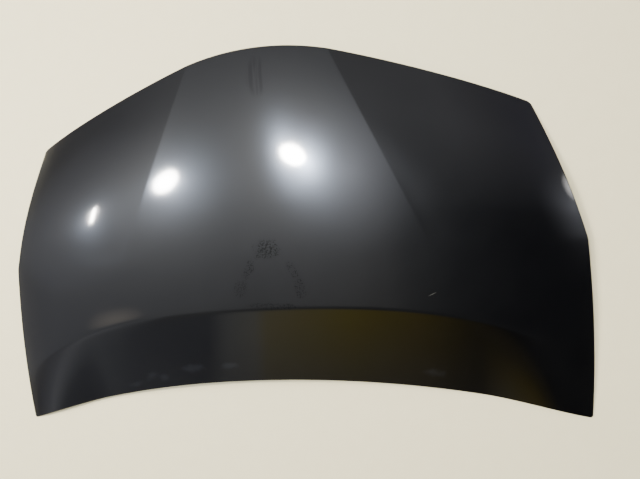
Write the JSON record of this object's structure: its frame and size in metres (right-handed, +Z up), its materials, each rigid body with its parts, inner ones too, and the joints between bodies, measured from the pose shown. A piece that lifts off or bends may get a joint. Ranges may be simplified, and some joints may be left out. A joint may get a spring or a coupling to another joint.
{
  "type": "car bonnet",
  "caption": "Crowned steel car bonnet: hemmed outer skin over a ribbed inner panel, with hinge pads, latch striker and hidden reinforcements.",
  "frame": {"origin": "middle of the bounding box, on the floor that the corner hems rest on", "axes": "+Y to the nose, +X to the right seen from above with the nose on top, +Z up out of the outer side"},
  "size_m": [1.39, 0.8652, 0.0889],
  "materials": {
    "skin_coat": "semi-gloss black electro-coat primer, lightly dusty",
    "inner_coat": "satin black electro-coat primer",
    "zinc_plate": "zinc plated, dull",
    "mastic": "matt anti-flutter mastic"
  },
  "bodies": {
    "root": {"dent_plate": "inner_coat", "hinge_reinforcement_left": "inner_coat", "hinge_reinforcement_right": "inner_coat", "hinge_weld_nut_left_front": "zinc_plate", "hinge_weld_nut_left_rear": "zinc_plate", "hinge_weld_nut_right_front": "zinc_plate", "hinge_weld_nut_right_rear": "zinc_plate", "inner_panel": "inner_coat", "latch_reinforcement": "inner_coat", "mastic_pad_01": "mastic", "mastic_pad_02": "mastic", "mastic_pad_03": "mastic", "mastic_pad_04": "mastic", "mastic_pad_05": "mastic", "mastic_pad_06": "mastic", "mastic_pad_07": "mastic", "mastic_pad_08": "mastic", "mastic_pad_09": "mastic", "mastic_pad_10": "mastic", "mastic_pad_11": "mastic", "mastic_pad_12": "mastic", "mastic_pad_13": "mastic", "mastic_pad_14": "mastic", "mastic_pad_15": "mastic", "mastic_pad_16": "mastic", "mastic_pad_17": "mastic", "mastic_pad_18": "mastic", "mastic_pad_19": "mastic", "mastic_pad_20": "mastic", "outer_skin": "skin_coat", "prop_reinforcement": "inner_coat", "striker_bolt_left": "zinc_plate", "striker_bolt_right": "zinc_plate", "striker_loop": "zinc_plate", "striker_plate": "zinc_plate", "striker_weld_nut_left": "zinc_plate", "striker_weld_nut_right": "zinc_plate"}
  },
  "joints": []
}
